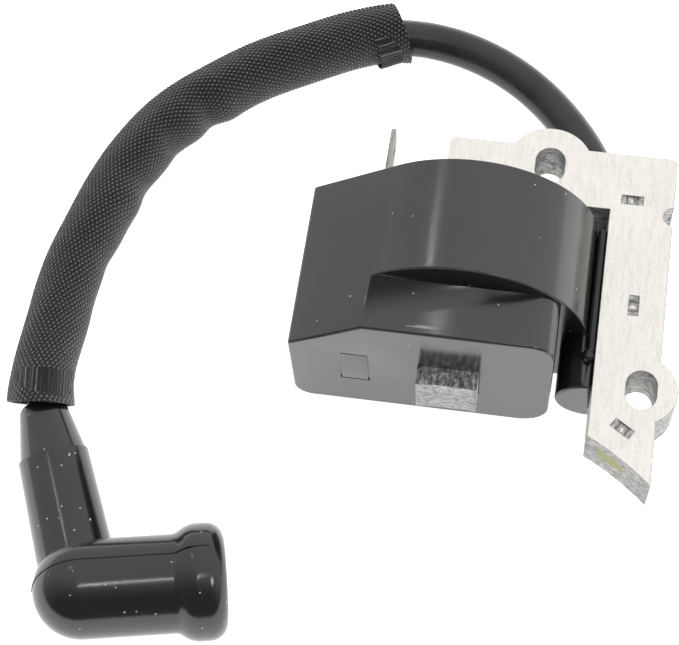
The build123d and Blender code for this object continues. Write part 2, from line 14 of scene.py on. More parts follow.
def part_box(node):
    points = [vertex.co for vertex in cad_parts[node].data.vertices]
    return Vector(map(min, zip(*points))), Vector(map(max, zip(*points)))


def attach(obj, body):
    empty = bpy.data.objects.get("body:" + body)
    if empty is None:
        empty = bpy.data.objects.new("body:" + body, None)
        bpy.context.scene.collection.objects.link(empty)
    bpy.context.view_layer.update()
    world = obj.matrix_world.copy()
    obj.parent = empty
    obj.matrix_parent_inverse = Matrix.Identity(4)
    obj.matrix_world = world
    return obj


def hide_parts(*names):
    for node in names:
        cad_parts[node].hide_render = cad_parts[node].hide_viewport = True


bl_info = {
    "name": "Ignition coil",
    "version": (1, 0, 0),
    "blender": (4, 5, 0),
    "location": "3D View > Sidebar > Coil",
    "description": "Builds a flywheel ignition coil, its lead, sleeve and plug boot",
    "category": "Object",
}

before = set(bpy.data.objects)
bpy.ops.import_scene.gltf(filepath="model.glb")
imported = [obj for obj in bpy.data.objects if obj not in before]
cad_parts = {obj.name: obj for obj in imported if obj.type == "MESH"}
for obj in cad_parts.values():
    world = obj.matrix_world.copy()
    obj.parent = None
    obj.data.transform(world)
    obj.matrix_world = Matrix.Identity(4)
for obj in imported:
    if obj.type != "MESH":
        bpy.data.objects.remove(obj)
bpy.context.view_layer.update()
MM = 0.001
# the plane of each cut end of the sleeve: a point on it, and the way out of the sleeve
SLEEVE_START = Vector((-0.0246, 0.06, 0.00575))
SLEEVE_START_WAY = Vector((0.89, 0.456, 0)).normalized()
SLEEVE_END = Vector((-0.07825, -0.02765, 0.0072))
SLEEVE_END_WAY = Vector((0.077, -0.997, -0.33)).normalized()
# length of sleeve made beyond each plane and then cut off
SLEEVE_SPARE = 0.005
SLEEVE_ROWS = 560
SLEEVE_HEM = 0.006
# creases on the sleeve's inner side: distance from its start, width, and depth (a bulge below 0)
SLEEVE_CREASES = (
    (0.043, 0.003, -0.0006),
    (0.0475, 0.0022, 0.0012),
    (0.052, 0.003, -0.0005),
    (0.0575, 0.0025, 0.0009),
    (0.069, 0.003, 0.0008),
    (0.0735, 0.003, -0.0004),
    (0.086, 0.003, 0.0006),
)
# the two materials of the core's mesh
FACE, EDGE = 0, 1

# the lead's route from the foot of its outlet to its end in the boot, millimetres
LEAD_ROUTE = (
    (22.15, 1.964, 4.5),
    (22.15, 26.064, 4.5),
    (3.0, 53.0, 3.9),
    (-23.6, 60.8, 5.4),
    (-49.5, 48.2, 6.3),
    (-68.1, 32.2, 6.1),
    (-75.4, 10.2, 6.1),
    (-81.299, -18.226, 6.048),
    (-70.607, -41.688, 9.397),
)
# the boot's barrel and neck cross here; the ways are unit vectors
BARREL_CENTRE = Vector((-61.56, -61.54, 12.2306)) * MM
MOUTH_WAY = Vector((0.964715, 0.235172, -0.118404)).normalized()
NECK_WAY = Vector((-0.411239, 0.902382, -0.128796)).normalized()
# the side of the boot that its shapes turn their own +X to
UPPER_SIDE = Vector((0.15, -0.28, 0.95)).normalized()
# the boot's outside: radii and heights from where barrel and neck cross
BARREL_RADIUS = 8.35 * MM
BEAD_RADIUS = 9.95 * MM
BEAD_START = 15.65 * MM
BEAD_FULL = 18.05 * MM
MOUTH_HEIGHT = 24.05 * MM
NECK_HEIGHT = 36 * MM
NECK_TIP_RADIUS = 4.25 * MM
# the seam's place round the barrel, and its width, degrees
SEAM_TURN = -38
SEAM_WIDTH = 1.4

# the camera's position, and the turns that bring the CAD frame to the camera's, about X, Y and Z
CAMERA_PLACE = (0.00833, -0.14289, 0.30941)
CAMERA_TURNS = (-0.4281750457757123, -0.10520394240505103, -0.1163422724939445)


# ------------------------------------------------------------------ settings
class CoilStageSettings(bpy.types.PropertyGroup):
    lens: FloatProperty(name="Lens", description="Camera's focal length", default=98.09,
                        unit="CAMERA")
    sky_back: FloatProperty(name="Light behind", default=1.06,
                            description="Brightness above and behind the coil")
    sky_front: FloatProperty(name="Light in front", default=0.2,
                             description="Brightness in front of the coil")
    strip: FloatProperty(name="Strip light", default=8.0,
                         description="Brightness of the narrow lamp on the left")
    table_glow: FloatProperty(name="Table glow", default=0.95,
                              description="Light that the table sends up")


class CoilCoreSettings(bpy.types.PropertyGroup):
    sheets: IntProperty(name="Sheets", description="Number of laminations", default=19, min=2)
    deburr: FloatProperty(name="Edge break", description="Bevel on each sheet's edges",
                          default=0.00009, unit="LENGTH")
    pocket_length: FloatProperty(name="Interlock length", description="Length of a V-shaped interlock",
                                 default=0.004, unit="LENGTH")
    pocket_width: FloatProperty(name="Interlock width", description="Width of a V-shaped interlock",
                                default=0.0019, unit="LENGTH")
    pocket_depth: FloatProperty(name="Interlock depth", description="Depth of a V-shaped interlock",
                                default=0.00075, unit="LENGTH")
    steel: FloatVectorProperty(name="Steel", description="Colour of the blanked faces", subtype="COLOR",
                               default=(0.93, 0.9, 0.85))


class CoilHousingSettings(bpy.types.PropertyGroup):
    plastic: FloatVectorProperty(name="Plastic", description="Colour of the housing", subtype="COLOR",
                                 default=(0.014, 0.0142, 0.0145))
    gloss: FloatProperty(name="Roughness", description="Roughness of the housing", default=0.17)


class CoilLeadSettings(bpy.types.PropertyGroup):
    diameter: FloatProperty(name="Diameter", description="Outside of the lead's jacket", default=0.007,
                            unit="LENGTH")
    length: FloatProperty(name="Length", description="Length of the lead", default=0.2122,
                          unit="LENGTH")


class CoilSleeveSettings(bpy.types.PropertyGroup):
    outer: FloatProperty(name="Outer radius", description="Sleeve's outside radius", default=0.0056,
                         unit="LENGTH")
    wall: FloatProperty(name="Wall", description="Thickness of the braid", default=0.0007,
                        unit="LENGTH")
    yarns: IntProperty(name="Yarns", description="Crossings in one turn round the sleeve",
                       default=40)
    relief: FloatProperty(name="Relief", description="Height of a crossing", default=0.00024,
                          unit="LENGTH")
    yarn: FloatVectorProperty(name="Yarn", description="Colour of the yarn", subtype="COLOR",
                              default=(0.02, 0.02, 0.021))


class CoilBootSettings(bpy.types.PropertyGroup):
    rubber: FloatVectorProperty(name="Rubber", description="Colour of the boot", subtype="COLOR",
                                default=(0.008, 0.008, 0.0083))
    seam: FloatProperty(name="Seam", description="Height of the mould seam", default=0.00012,
                        unit="LENGTH")
    steps: IntProperty(name="Facets", description="Facets in one turn of the boot", default=128)


# ------------------------------------------------------------------ node helpers
def add(tree, kind, values=None, **settings):
    """A node with its settings, and its sockets given values or links."""
    node = tree.nodes.new(kind)
    for key, value in settings.items():
        setattr(node, key, value)
    for key, value in (values or {}).items():
        if isinstance(value, bpy.types.NodeSocket):
            tree.links.new(value, node.inputs[key])
        else:
            node.inputs[key].default_value = value
    return node


def new_material(name, colour, roughness, **sockets):
    """A material and its shader, with the constants set on the shader's own sockets."""
    material = bpy.data.materials.new(name)
    material.use_nodes = True
    shader = material.node_tree.nodes["Principled BSDF"]
    shader.inputs["Base Color"].default_value = (*colour, 1)
    shader.inputs["Roughness"].default_value = roughness
    for key, value in sockets.items():
        shader.inputs[key.replace("_", " ")].default_value = value
    return material, material.node_tree, shader


def math_node(tree, operation, *values):
    """Value of an operation on numbers or sockets."""
    return add(tree, "ShaderNodeMath", dict(enumerate(values)), operation=operation).outputs["Value"]


def coordinates(tree, kind="Object"):
    return add(tree, "ShaderNodeTexCoord").outputs[kind]


def stretched(tree, scale, vector):
    """Coordinates scaled along each axis."""
    return add(tree, "ShaderNodeMapping", {"Vector": vector, "Scale": scale}).outputs["Vector"]


def noise(tree, vector, scale, detail=2.0, roughness=0.5):
    """Noise between 0 and 1."""
    node = add(tree, "ShaderNodeTexNoise", {"Vector": vector, "Scale": scale, "Detail": detail,
                                            "Roughness": roughness})
    return node.outputs["Fac"]


def ramp(tree, factor, *stops):
    """A colour ramp through (position, grey or colour) stops."""
    node = add(tree, "ShaderNodeValToRGB", {"Fac": factor})
    elements = node.color_ramp.elements
    while len(elements) < len(stops):
        elements.new(0.5)
    for element, (position, value) in zip(elements, stops):
        element.position = position
        element.color = (*value, 1) if hasattr(value, "__len__") else (value, value, value, 1)
    return node.outputs["Color"]


def blend_colours(tree, factor, first, second):
    """Mix of two colours, each a socket or a constant."""
    node = add(tree, "ShaderNodeMix", data_type="RGBA")
    for key, value in ((0, factor), (6, first), (7, second)):
        if isinstance(value, bpy.types.NodeSocket):
            tree.links.new(value, node.inputs[key])
        else:
            node.inputs[key].default_value = value if key == 0 else (*value, 1)
    return node.outputs[2]


def relief(tree, shader, height, distance, strength=1.0, before=None):
    """Bump from a height, on top of an earlier one."""
    values = {"Height": height, "Distance": distance, "Strength": strength}
    if before:
        values["Normal"] = before
    node = add(tree, "ShaderNodeBump", values)
    tree.links.new(node.outputs["Normal"], shader.inputs["Normal"])
    return node.outputs["Normal"]


def specks(tree, vector, scale, size, share):
    """Mask of small scattered dots: one cell in a few has a dot."""
    cell = add(tree, "ShaderNodeTexVoronoi", {"Vector": vector, "Scale": scale, "Randomness": 1.0})
    near = math_node(tree, "LESS_THAN", cell.outputs["Distance"], size)
    chosen = add(tree, "ShaderNodeSeparateColor", {"Color": cell.outputs["Color"]})
    return math_node(tree, "MULTIPLY", near, math_node(tree, "LESS_THAN", chosen.outputs[0], share))


# ------------------------------------------------------------------ finishes
def shade(colour, factor):
    """A colour made darker or lighter."""
    return tuple(min(1, c * factor) for c in colour)


def moulded_black(name, colour, roughness, grain, dust, scuffs, shine=0.95):
    """Glossy black moulding with faint flow, dust and hairline scuffs."""
    material, tree, shader = new_material(name, colour, roughness, Specular_IOR_Level=shine)
    place = coordinates(tree)
    cloud = noise(tree, place, 90, 4)
    base = ramp(tree, cloud, (0.3, shade(colour, 0.8)), (0.75, shade(colour, 1.35)))
    dots = specks(tree, place, 560, 0.085, dust)
    fluff = specks(tree, stretched(tree, (1.0, 0.35, 1.0), place), 330, 0.05, dust)
    marks = math_node(tree, "MAXIMUM", dots, fluff)
    if scuffs:
        streaks = noise(tree, stretched(tree, (60, 900, 700), place), 1.0, 3, 0.7)
        patch = ramp(tree, noise(tree, place, 60, 2), (0.62, 0), (0.72, 1))
        line = math_node(tree, "GREATER_THAN", streaks, 0.69)
        marks = math_node(tree, "MAXIMUM", marks, math_node(tree, "MULTIPLY", line, patch))
    tree.links.new(blend_colours(tree, marks, base, (0.6, 0.6, 0.58)), shader.inputs["Base Color"])
    rough = ramp(tree, noise(tree, place, 300, 5, 0.7), (0.3, roughness * 0.8), (0.7, roughness * 1.3))
    tree.links.new(blend_colours(tree, marks, rough, (0.8, 0.8, 0.8)), shader.inputs["Roughness"])
    wave = relief(tree, shader, noise(tree, place, 55, 2), 0.00012, 0.5)
    relief(tree, shader, noise(tree, place, grain, 3, 0.6), 0.00001, 0.45, wave)
    return material


def banded_resistor():
    """Lacquered body with coloured rings round it."""
    material, tree, shader = new_material("resistor_body", (0.62, 0.5, 0.34), 0.35)
    place = coordinates(tree)
    depth = add(tree, "ShaderNodeSeparateXYZ", {"Vector": place}).outputs["Y"]
    rings = math_node(tree, "FRACT", math_node(tree, "MULTIPLY", depth, 700.0))
    lacquer, ring = (0.62, 0.5, 0.34), (0.3, 0.08, 0.02)
    tree.links.new(ramp(tree, rings, (0.0, lacquer), (0.6, lacquer), (0.62, ring), (0.98, ring)),
                   shader.inputs["Base Color"])
    relief(tree, shader, noise(tree, place, 800), 0.00002, 0.5)
    return material


def steel_face(colour=(0.9, 0.875, 0.83)):
    """Blanked sheet: bright, rolled along the leg, with fine speckle and light tarnish."""
    material, tree, shader = new_material("core_steel", (0.86, 0.84, 0.8), 0.38, Metallic=0.85)
    place = coordinates(tree)
    grain = noise(tree, stretched(tree, (2600, 260, 2600), place), 1.0, 3, 0.6)
    speckle = noise(tree, place, 2600, 3, 0.7)
    tarnish = noise(tree, place, 120, 4, 0.6)
    tone = math_node(tree, "ADD", math_node(tree, "MULTIPLY", grain, 0.5),
                     math_node(tree, "MULTIPLY", speckle, 0.5))
    base = ramp(tree, tone, (0.3, shade(colour, 0.82)), (0.52, colour), (0.75, shade(colour, 1.06)))
    warm = blend_colours(tree, ramp(tree, tarnish, (0.45, 0), (0.8, 0.3)), base, (0.9, 0.85, 0.76))
    # painted shade: the coil leg's front face below the housing is streaked dark along the leg, mixed
    # with its bright steel
    parts = add(tree, "ShaderNodeSeparateXYZ", {"Vector": place}).outputs
    pole = math_node(tree, "MULTIPLY", math_node(tree, "LESS_THAN", parts["X"], 0.0005),
                     math_node(tree, "LESS_THAN", parts["Y"], -0.0158))
    spangle = noise(tree, stretched(tree, (1500, 700, 1500), place), 1.0, 4, 0.8)
    painted_shade_streaks = ramp(tree, spangle, (0.38, (0.13, 0.135, 0.135)), (0.5, (0.36, 0.37, 0.37)),
                (0.6, (0.8, 0.8, 0.79)))
    tree.links.new(blend_colours(tree, pole, warm, painted_shade_streaks), shader.inputs["Base Color"])
    tree.links.new(ramp(tree, tone, (0.25, 0.55), (0.75, 0.32)), shader.inputs["Roughness"])
    lift = relief(tree, shader, grain, 0.000012, 0.5)
    relief(tree, shader, speckle, 0.000008, 0.4, lift)
    return material


def steel_edge():
    """Sheared edge of the sheets: each one burnished at its middle, dark where it meets the next."""
    material, tree, shader = new_material("core_steel_edge", (0.5, 0.5, 0.49), 0.45, Metallic=0.9)
    place = coordinates(tree)
    height = add(tree, "ShaderNodeSeparateXYZ", {"Vector": place}).outputs["Z"]
    height = math_node(tree, "MULTIPLY", height, 2000.0)
    level = math_node(tree, "ADD", height, 0.8)
    sheet = math_node(tree, "FRACT", level)
    # each sheet reads its own part of the noise
    own = math_node(tree, "MULTIPLY", math_node(tree, "FLOOR", level), 0.0137)
    offset = add(tree, "ShaderNodeCombineXYZ", {"X": own, "Y": own}).outputs["Vector"]
    moved = add(tree, "ShaderNodeVectorMath", {0: place, 1: offset}, operation="ADD").outputs["Vector"]
    tear = noise(tree, stretched(tree, (900, 900, 1500), moved), 1.0, 5, 0.75)
    band = ramp(tree, sheet, (0.0, 0.12), (0.16, 0.55), (0.5, 1.0), (0.84, 0.8), (1.0, 0.12))
    tone = ramp(tree, tear, (0.3, (0.2, 0.2, 0.195)), (0.5, (0.55, 0.55, 0.54)),
                (0.68, (0.85, 0.85, 0.83)))
    mixed = add(tree, "ShaderNodeMix", {0: 0.85}, data_type="RGBA", blend_type="MULTIPLY")
    tree.links.new(tone, mixed.inputs[6])
    tree.links.new(band, mixed.inputs[7])
    # a patch of varnish at the outer leg's end: distance from its centre, with a ragged rim
    centre = add(tree, "ShaderNodeVectorMath", {0: place, 1: (0.0233, -0.0282, 0.0148)},
                 operation="SUBTRACT")
    squeezed = add(tree, "ShaderNodeVectorMath", {0: centre.outputs[0], 1: (0.8, 0.8, 1.5)},
                   operation="MULTIPLY")
    reach = add(tree, "ShaderNodeVectorMath", {0: squeezed.outputs[0]}, operation="LENGTH")
    rag = math_node(tree, "MULTIPLY", noise(tree, place, 900, 3), 0.0018)
    ragged = math_node(tree, "ADD", reach.outputs["Value"], rag)
    varnish = math_node(tree, "MULTIPLY", math_node(tree, "LESS_THAN", ragged, 0.0034), 0.8)
    stained = blend_colours(tree, varnish, mixed.outputs[2], (0.42, 0.43, 0.16))
    tree.links.new(stained, shader.inputs["Base Color"])
    tree.links.new(ramp(tree, tear, (0.3, 0.7), (0.7, 0.35)), shader.inputs["Roughness"])
    groove = relief(tree, shader, band, 0.00008, 0.8)
    relief(tree, shader, tear, 0.00004, 0.6, groove)
    return material


def jacket():
    """Extruded jacket of the lead: dark, with a soft gloss and faint drag lines along it."""
    material, tree, shader = new_material("lead_jacket", (0.022, 0.023, 0.024), 0.24)
    place = coordinates(tree)
    lines = noise(tree, stretched(tree, (6, 300, 1), coordinates(tree, "UV")), 1.0, 2)
    cloud = noise(tree, place, 160, 4)
    tree.links.new(ramp(tree, cloud, (0.3, (0.016, 0.017, 0.018)), (0.7, (0.034, 0.034, 0.035))),
                   shader.inputs["Base Color"])
    tree.links.new(ramp(tree, noise(tree, place, 700, 4), (0.3, 0.2), (0.7, 0.34)),
                   shader.inputs["Roughness"])
    drag = relief(tree, shader, lines, 0.00002, 0.3)
    relief(tree, shader, noise(tree, place, 1800, 3), 0.00001, 0.3, drag)
    return material


def braid(colour):
    """Braided yarn: every crossing a small glossy pillow, with fibres along the strands, a painted
    highlight on each crossing's top and painted shade in the hollows between crossings.
    """
    material, tree, shader = new_material("braid", colour, 0.4, Sheen_Weight=0.35,
                                          Sheen_Roughness=0.4)
    uv = coordinates(tree, "UV")
    place = coordinates(tree)
    wobble = math_node(tree, "MULTIPLY", noise(tree, place, 500, 2), 0.5)
    parts = add(tree, "ShaderNodeSeparateXYZ", {"Vector": uv}).outputs
    across = math_node(tree, "ADD", parts["X"], wobble)
    waves = []
    for operation in ("ADD", "SUBTRACT"):
        phase = math_node(tree, "MULTIPLY", math_node(tree, operation, across, parts["Y"]), math.pi)
        waves.append(math_node(tree, "ABSOLUTE", math_node(tree, "SINE", phase)))
    crest = math_node(tree, "MULTIPLY", *waves)
    fibres = noise(tree, stretched(tree, (9, 14, 1), uv), 1.0, 3, 0.7)
    painted_crest_light = math_node(tree, "MULTIPLY", crest, math_node(tree, "MULTIPLY_ADD", fibres, 1.1, 0.35))
    # painted highlight on the top of each crossing and painted shade, darker than the yarn, in the
    # hollows between them
    tone = ramp(tree, painted_crest_light, (0.25, (0.004, 0.004, 0.004)), (0.55, colour), (0.8, (0.09, 0.09, 0.093)),
                (0.95, (0.5, 0.5, 0.52)))
    tree.links.new(tone, shader.inputs["Base Color"])
    tree.links.new(ramp(tree, fibres, (0.35, 0.25), (0.7, 0.5)), shader.inputs["Roughness"])
    pillow = relief(tree, shader, crest, 0.00035, 0.9)
    relief(tree, shader, fibres, 0.00008, 0.5, pillow)
    return material


def simple_metal(name, colour, roughness, scale, metallic=1.0):
    """Drawn or plated metal with fine marks."""
    material, tree, shader = new_material(name, colour, roughness, Metallic=metallic)
    place = coordinates(tree)
    marks = noise(tree, stretched(tree, (1, 0.2, 1), place), scale, 4, 0.6)
    tree.links.new(ramp(tree, marks, (0.3, shade(colour, 0.6)), (0.6, colour)),
                   shader.inputs["Base Color"])
    tree.links.new(ramp(tree, marks, (0.3, roughness * 1.5), (0.7, roughness * 0.8)),
                   shader.inputs["Roughness"])
    relief(tree, shader, marks, 0.00002, 0.4)
    return material


def simple_body(name, colour, roughness, scale, depth=0.00002):
    """Moulded, cast or dipped body with a slight mottle."""
    material, tree, shader = new_material(name, colour, roughness)
    place = coordinates(tree)
    mottle = noise(tree, place, scale, 4, 0.6)
    tree.links.new(ramp(tree, mottle, (0.3, shade(colour, 0.75)), (0.7, shade(colour, 1.2))),
                   shader.inputs["Base Color"])
    tree.links.new(ramp(tree, mottle, (0.3, roughness * 0.8), (0.7, min(1, roughness * 1.25))),
                   shader.inputs["Roughness"])
    relief(tree, shader, mottle, depth, 0.5)
    return material


def wound_wire():
    """Enamelled turns laid side by side along the winding, with painted shade in the grooves between
    turns.
    """
    material, tree, shader = new_material("winding_wire", (0.45, 0.16, 0.07), 0.3, Metallic=0.7)
    place = coordinates(tree)
    depth = add(tree, "ShaderNodeSeparateXYZ", {"Vector": place}).outputs["Y"]
    wobble = math_node(tree, "MULTIPLY", noise(tree, place, 300, 2), 0.00012)
    phase = math_node(tree, "MULTIPLY", math_node(tree, "ADD", depth, wobble), 21000.0)
    lift = math_node(tree, "MULTIPLY_ADD", math_node(tree, "SINE", phase), 0.5, 0.5)
    # painted shade: the colour darkens in the grooves between turns
    tree.links.new(ramp(tree, lift, (0.0, (0.12, 0.035, 0.015)), (0.7, (0.55, 0.2, 0.09))),
                   shader.inputs["Base Color"])
    relief(tree, shader, lift, 0.00008, 0.8)
    return material


# ------------------------------------------------------------------ mesh helpers
def clean_copy(node):
    """Bmesh of a CAD node's shape, its loose triangles merged into faces."""
    bm = bmesh.new()
    bm.from_mesh(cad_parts[node].data)
    bmesh.ops.remove_doubles(bm, verts=bm.verts, dist=0.000002)
    bmesh.ops.dissolve_limit(bm, angle_limit=math.radians(0.6), verts=bm.verts, edges=bm.edges,
                             delimit={"NORMAL"})
    return bm


def piece(name, bm, materials, replaces=(), body="coil_unit", sharp=40, recalc=True):
    """Turns a bmesh into a shown piece that rides on a body."""
    if recalc:
        bmesh.ops.recalc_face_normals(bm, faces=bm.faces)
    mesh = bpy.data.meshes.new(name)
    bm.to_mesh(mesh)
    bm.free()
    for material in materials:
        mesh.materials.append(material)
    mesh.shade_smooth()
    mesh.set_sharp_from_angle(angle=math.radians(sharp))
    obj = bpy.data.objects.new(name, mesh)
    bpy.context.collection.objects.link(obj)
    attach(obj, body)
    if replaces:
        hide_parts(*replaces)
    return obj


def apply_modifiers(obj):
    """Bakes the object's modifiers into its mesh."""
    graph = bpy.context.evaluated_depsgraph_get()
    made = bpy.data.meshes.new_from_object(obj.evaluated_get(graph), depsgraph=graph)
    obj.modifiers.clear()
    obj.data = made


def combine(target, cutter, operation):
    """Boolean of two bmesh solids, returned as a new bmesh."""
    objects = []
    for name, bm in (("target", target), ("cutter", cutter)):
        bmesh.ops.recalc_face_normals(bm, faces=bm.faces)
        mesh = bpy.data.meshes.new(name)
        bm.to_mesh(mesh)
        bm.free()
        obj = bpy.data.objects.new(name, mesh)
        bpy.context.collection.objects.link(obj)
        objects.append(obj)
    modifier = objects[0].modifiers.new("cut", "BOOLEAN")
    modifier.object, modifier.operation, modifier.solver = objects[1], operation, "EXACT"
    apply_modifiers(objects[0])
    made = bmesh.new()
    made.from_mesh(objects[0].data)
    for obj in objects:
        mesh = obj.data
        bpy.data.objects.remove(obj)
        bpy.data.meshes.remove(mesh)
    return made


def dress(name, material):
    """Gives a carried-over CAD node its finish."""
    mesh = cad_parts[name].data
    if mesh.materials:
        for index in range(len(mesh.materials)):
            mesh.materials[index] = material
    else:
        mesh.materials.append(material)


# ------------------------------------------------------------------ stage
def camera_matrix():
    x, y, z = CAMERA_TURNS
    turn = Matrix.Rotation(z, 3, "Z") @ Matrix.Rotation(y, 3, "Y") @ Matrix.Rotation(x, 3, "X")
    return Matrix.Translation(CAMERA_PLACE) @ turn.transposed().to_4x4()


def area_light(name, way, reach, size, brightness, target=(-0.02, 0, 0.02)):
    """A rectangular lamp that faces the coil from a direction."""
    light = bpy.data.lights.new(name, "AREA")
    light.shape = "RECTANGLE"
    light.size, light.size_y = size
    light.energy = brightness * math.pi * size[0] * size[1]
    obj = bpy.data.objects.new(name, light)
    bpy.context.collection.objects.link(obj)
    towards = Vector(way).normalized()
    place = Vector(target) + towards * reach
    turn = (-towards).to_track_quat("-Z", "Y").to_matrix()
    obj.matrix_world = Matrix.Translation(place) @ turn.to_4x4()


class COIL_OT_stage(bpy.types.Operator):
    """Camera, table and lights"""
    bl_idname = "coil.stage"
    bl_label = "Stage"

    def execute(self, context):
        settings = context.scene.coil_stage
        scene = context.scene
        camera = bpy.data.cameras.new("camera")
        camera.lens = settings.lens
        camera.sensor_width = 36
        camera.clip_start = 0.01
        obj = bpy.data.objects.new("camera", camera)
        context.collection.objects.link(obj)
        obj.matrix_world = camera_matrix()
        scene.camera = obj
        scene.view_settings.view_transform = "Standard"
        world = bpy.data.worlds.new("studio")
        world.use_nodes = True
        tree = world.node_tree
        way = add(tree, "ShaderNodeSeparateXYZ", {"Vector": coordinates(tree, "Generated")}).outputs
        sky = add(tree, "ShaderNodeMapRange",
                  {"Value": way["Y"], "From Min": -0.75, "From Max": 0.3,
                   "To Min": settings.sky_front, "To Max": settings.sky_back},
                  interpolation_type="SMOOTHSTEP")
        side = add(tree, "ShaderNodeMapRange",
                   {"Value": way["X"], "From Min": -1.0, "From Max": 0.2, "To Min": 0.85, "To Max": 1.0})
        both = math_node(tree, "MULTIPLY", sky.outputs["Result"], side.outputs["Result"])
        tree.links.new(both, tree.nodes["Background"].inputs["Strength"])
        tree.nodes["Background"].inputs["Color"].default_value = (1, 1, 1, 1)
        scene.world = world
        bm = bmesh.new()
        bmesh.ops.create_grid(bm, x_segments=1, y_segments=1, size=1.5)
        bmesh.ops.translate(bm, vec=(0, 0, -0.00002), verts=bm.verts)
        mesh = bpy.data.meshes.new("table")
        bm.to_mesh(mesh)
        bm.free()
        table = bpy.data.objects.new("table", mesh)
        context.collection.objects.link(table)
        material, _, shader = new_material("white_table", (0.93, 0.93, 0.93), 0.7)
        shader.inputs["Emission Color"].default_value = (1, 1, 1, 1)
        shader.inputs["Emission Strength"].default_value = settings.table_glow
        mesh.materials.append(material)
        area_light("strip", (-0.45, 0.43, 0.77), 0.9, (0.03, 0.09), settings.strip)
        area_light("softbox", (0.47, -0.18, 0.85), 0.8, (0.17, 0.17), 7.0, (-0.05, -0.06, 0.01))
        area_light("front", (0.115, -0.12, 0.98), 0.6, (0.12, 0.02), 16.0, (-0.06, -0.06, 0.02))
        return {"FINISHED"}


# ------------------------------------------------------------------ core
def rear_face(node):
    """The rear face of the core, as one flat region."""
    low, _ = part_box(node)
    bm = clean_copy(node)
    other = [f for f in bm.faces
             if f.normal.z > -0.99 or abs(f.calc_center_median().z - low[2]) > 0.00001]
    bmesh.ops.delete(bm, geom=other, context="FACES")
    return bm


def stacked_sheets(sheets, deburr):
    """The core's outline as separate sheets, with broken edges and a thin gap between them."""
    low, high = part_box("core_laminations")
    pitch = (high[2] - low[2]) / sheets
    bm = rear_face("core_laminations")
    made = bmesh.ops.extrude_face_region(bm, geom=bm.faces[:])
    tops = [g for g in made["geom"] if isinstance(g, bmesh.types.BMVert)]
    bmesh.ops.translate(bm, vec=(0, 0, pitch * 0.985), verts=tops)
    bmesh.ops.recalc_face_normals(bm, faces=bm.faces)
    for face in bm.faces:
        face.material_index = FACE if abs(face.normal.z) > 0.5 else EDGE
    rims = [e for e in bm.edges if len(e.link_faces) == 2
            and abs(abs(e.link_faces[0].normal.z) - abs(e.link_faces[1].normal.z)) > 0.5]
    bmesh.ops.bevel(bm, geom=rims, offset=deburr, offset_type="OFFSET", segments=1, profile=0.5,
                    affect="EDGES", material=EDGE)
    single = bm.verts[:] + bm.edges[:] + bm.faces[:]
    for index in range(1, sheets):
        copy = bmesh.ops.duplicate(bm, geom=single)
        verts = [g for g in copy["geom"] if isinstance(g, bmesh.types.BMVert)]
        bmesh.ops.translate(bm, vec=(0, 0, pitch * index), verts=verts)
    return bm


def interlocks(settings, top):
    """V-shaped pockets that pin the sheets together: middle and turn of each, on the front face."""
    places = ((0.02275, 0.020214, 0), (0.02465, -0.000436, 90), (0.02465, -0.023536, -32))
    bm = bmesh.new()
    for x, y, turn in places:
        verts = bmesh.ops.create_cube(bm, size=1.0)["verts"]
        size = (settings.pocket_length, settings.pocket_width, 2 * settings.pocket_depth)
        bmesh.ops.scale(bm, vec=size, verts=verts)
        bmesh.ops.scale(bm, vec=(0.1, 1, 1), verts=[v for v in verts if v.co.z < 0])
        bmesh.ops.scale(bm, vec=(1.9, 1, 1), verts=[v for v in verts if v.co.z > 0])
        for face in {f for v in verts for f in v.link_faces}:
            face.material_index = FACE if face.calc_area() < 0.000002 else EDGE
        turned = Matrix.Rotation(math.radians(turn), 3, "Z")
        bmesh.ops.rotate(bm, cent=(0, 0, 0), matrix=turned, verts=verts)
        bmesh.ops.translate(bm, vec=(x, y, top), verts=verts)
    return bm


class COIL_OT_core(bpy.types.Operator):
    """Stack of sheets with interlocks pressed into the front ones"""
    bl_idname = "coil.core"
    bl_label = "Core"

    def execute(self, context):
        settings = context.scene.coil_core
        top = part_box("core_laminations")[1][2]
        bm = stacked_sheets(settings.sheets, settings.deburr)
        bm = combine(bm, interlocks(settings, top), "DIFFERENCE")
        piece("core_sheets", bm, [steel_face(tuple(settings.steel)), steel_edge()],
              ["core_laminations"], sharp=30, recalc=False)
        return {"FINISHED"}


# ------------------------------------------------------------------ housing
class COIL_OT_housing(bpy.types.Operator):
    """Moulded housing, its potting resin and the sealant beside the outer leg"""
    bl_idname = "coil.housing"
    bl_label = "Housing"

    def execute(self, context):
        settings = context.scene.coil_housing
        plastic = moulded_black("housing_plastic", tuple(settings.plastic), settings.gloss, 2200, 0.1,
                                True)
        shell = piece("housing_shell", clean_copy("housing"), [plastic], ["housing"],
                      sharp=50, recalc=False)
        shell.modifiers.new("even", "WEIGHTED_NORMAL").keep_sharp = True
        apply_modifiers(shell)
        sealant = simple_body("sealant", (0.018, 0.018, 0.019), 0.14, 300, 0.0001)
        bead = piece("sealant_bead", clean_copy("leg_sealant"), [sealant], ["leg_sealant"],
                     recalc=False)
        remesh = bead.modifiers.new("flow", "REMESH")
        remesh.mode, remesh.voxel_size = "VOXEL", 0.00022
        smooth = bead.modifiers.new("settle", "SMOOTH")
        smooth.iterations, smooth.factor = 6, 0.5
        apply_modifiers(bead)
        bead.data.shade_smooth()
        dress("potting_resin", simple_body("resin", (0.02, 0.021, 0.022), 0.2, 200, 0.0001))
        return {"FINISHED"}


